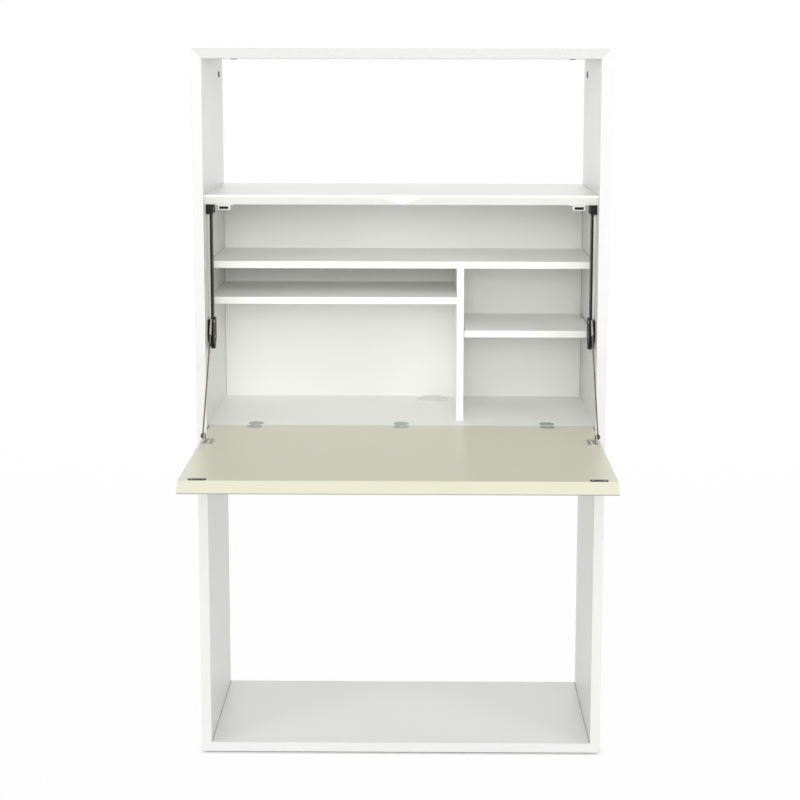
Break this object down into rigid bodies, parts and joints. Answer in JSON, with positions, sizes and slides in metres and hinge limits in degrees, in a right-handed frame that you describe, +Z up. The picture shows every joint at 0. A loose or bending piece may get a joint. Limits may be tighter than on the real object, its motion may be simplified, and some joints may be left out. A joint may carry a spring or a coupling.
{
  "type": "secretary desk",
  "caption": "Tall frame secretary desk whose bevelled flap folds down on cup hinges to a writing surface held level by rod and slider stays.",
  "frame": {"origin": "on the ground, under the middle of the open desk's outline", "axes": "+Z up, +X to the right seen from the front, +Y from the front to the back"},
  "size_m": [0.91, 0.8468, 1.598],
  "materials": {
    "white_board": "white satin lacquer on board",
    "flap_laminate": "pale grey-beige satin laminate",
    "hinge_zinc": "nickel plated zinc casting",
    "bright_steel": "zinc plated steel",
    "black_plastic": "moulded black plastic",
    "dark_steel": "dark plated steel",
    "pale_plastic": "moulded pale plastic",
    "magnet": "sintered magnet",
    "grommet_plastic": "moulded grey plastic",
    "beech": "bare beech"
  },
  "bodies": {
    "cabinet": {"back_panel": "white_board", "bottom_panel": "white_board", "catch_housing_left": "pale_plastic", "catch_housing_right": "pale_plastic", "catch_magnet_left": "magnet", "catch_magnet_right": "magnet", "catch_screws": "bright_steel", "compartment_floor": "white_board", "corner_cams": "dark_steel", "corner_dowels": "beech", "divider": "white_board", "full_shelf": "white_board", "glides": "black_plastic", "grommet_ring": "grommet_plastic", "hinge_cups_cabinet": "hinge_zinc", "hinge_pins": "bright_steel", "hinge_screws_cabinet": "bright_steel", "left_shelf": "white_board", "mitre_bolts": "bright_steel", "rail_cap_left": "black_plastic", "rail_cap_right": "black_plastic", "rail_screws_left": "bright_steel", "rail_screws_right": "bright_steel", "rail_stop_left": "black_plastic", "rail_stop_right": "black_plastic", "shelf_dowels": "beech", "shelf_pins": "bright_steel", "side_panel_left": "white_board", "side_panel_right": "white_board", "small_shelf": "white_board", "stay_rail_left": "bright_steel", "stay_rail_right": "bright_steel", "top_panel": "white_board", "upper_shelf": "white_board"},
    "flap": {"bracket_pins": "dark_steel", "bracket_screws": "bright_steel", "flap_door": "flap_laminate", "hinge_cups_flap": "hinge_zinc", "hinge_screws_flap": "bright_steel", "stay_bracket_left": "bright_steel", "stay_bracket_right": "bright_steel", "strike_plate_left": "dark_steel", "strike_plate_right": "dark_steel", "strike_screws": "bright_steel"},
    "stay_rod_left": {"rod_clip_left": "black_plastic", "stay_rod_left": "bright_steel"},
    "stay_rod_right": {"rod_clip_right": "black_plastic", "stay_rod_right": "bright_steel"},
    "slider_left": {"brake_screw_left": "bright_steel", "slider_housing_left": "black_plastic", "slider_rivet_left": "bright_steel", "slider_shoe_left": "black_plastic"},
    "slider_right": {"brake_screw_right": "bright_steel", "slider_housing_right": "black_plastic", "slider_rivet_right": "bright_steel", "slider_shoe_right": "black_plastic"},
    "grommet_lid": {"grommet_lid": "grommet_plastic"}
  },
  "joints": [
    {"name": "flap_hinge", "type": "hinge", "parent": "cabinet", "child": "flap", "pos_m": [0, 0.08943, 0.759], "axis": [-1, 0, 0], "range_deg": [0, 90]},
    {"name": "rod_left_pivot", "type": "hinge", "parent": "flap", "child": "stay_rod_left", "pos_m": [-0.4255, -0.06857, 0.77], "axis": [-1, 0, 0], "range_deg": [-127.25, 0]},
    {"name": "rod_right_pivot", "type": "hinge", "parent": "flap", "child": "stay_rod_right", "pos_m": [0.4255, -0.06857, 0.77], "axis": [-1, 0, 0], "range_deg": [-127.25, 0]},
    {"name": "slider_left_travel", "type": "slide", "parent": "cabinet", "child": "slider_left", "axis": [0, 0, 1], "range_m": [0, 0.20325]},
    {"name": "slider_right_travel", "type": "slide", "parent": "cabinet", "child": "slider_right", "axis": [0, 0, 1], "range_m": [0, 0.20325]},
    {"name": "grommet_lid_turn", "type": "hinge", "parent": "cabinet", "child": "grommet_lid", "pos_m": [0.071, 0.37343, 0.759], "axis": [0, 0, 1], "continuous": true}
  ],
  "couplings": [
    {"joint": "rod_left_pivot", "follows": "flap_hinge", "ratio": -1.4133},
    {"joint": "rod_right_pivot", "follows": "flap_hinge", "ratio": -1.4133},
    {"joint": "slider_left_travel", "follows": "flap_hinge", "m_per_rad": 0.12936},
    {"joint": "slider_right_travel", "follows": "flap_hinge", "m_per_rad": 0.12936}
  ]
}
